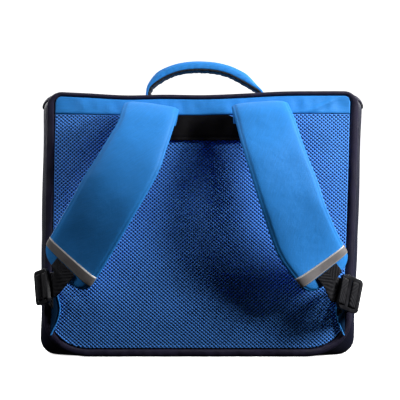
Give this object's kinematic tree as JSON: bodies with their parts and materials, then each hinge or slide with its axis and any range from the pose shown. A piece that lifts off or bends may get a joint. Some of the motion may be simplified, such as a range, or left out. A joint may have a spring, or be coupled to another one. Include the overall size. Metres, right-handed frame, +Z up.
{
  "type": "school ransel",
  "caption": "Boxy child's school ransel with a padded mesh back, wide blue shoulder straps with reflective tape, a padded carrying handle and a flap over its front.",
  "frame": {"origin": "middle of the base, on the surface that the bag stands on", "axes": "+X to the right seen from the wearer's side, +Y from the wearer's side to the flap's front, +Z up"},
  "size_m": [0.4034, 0.2401, 0.3559],
  "materials": {
    "navy_cloth": "matte",
    "air_mesh": "matte",
    "sky_cloth": "satin",
    "black_cloth": "matte",
    "binding_tape": "matte",
    "webbing": "matte",
    "reflective_tape": "satin",
    "plastic": "satin"
  },
  "bodies": {
    "root": {"body_shell": "navy_cloth", "back_panel": "air_mesh", "top_band": "sky_cloth", "back_binding": "binding_tape", "anchor_patch": "black_cloth", "strap_pad_left": "sky_cloth", "strap_tape_left": "reflective_tape", "strap_webbing_left": "webbing", "lower_webbing_left": "webbing", "corner_tab_left": "sky_cloth", "buckle_left": "plastic", "clasp_left": "plastic", "strap_pad_right": "sky_cloth", "strap_tape_right": "reflective_tape", "strap_webbing_right": "webbing", "lower_webbing_right": "webbing", "corner_tab_right": "sky_cloth", "buckle_right": "plastic", "clasp_right": "plastic", "handle_grip": "sky_cloth", "handle_webbing": "webbing", "flap": "sky_cloth", "flap_binding": "binding_tape"}
  },
  "joints": []
}
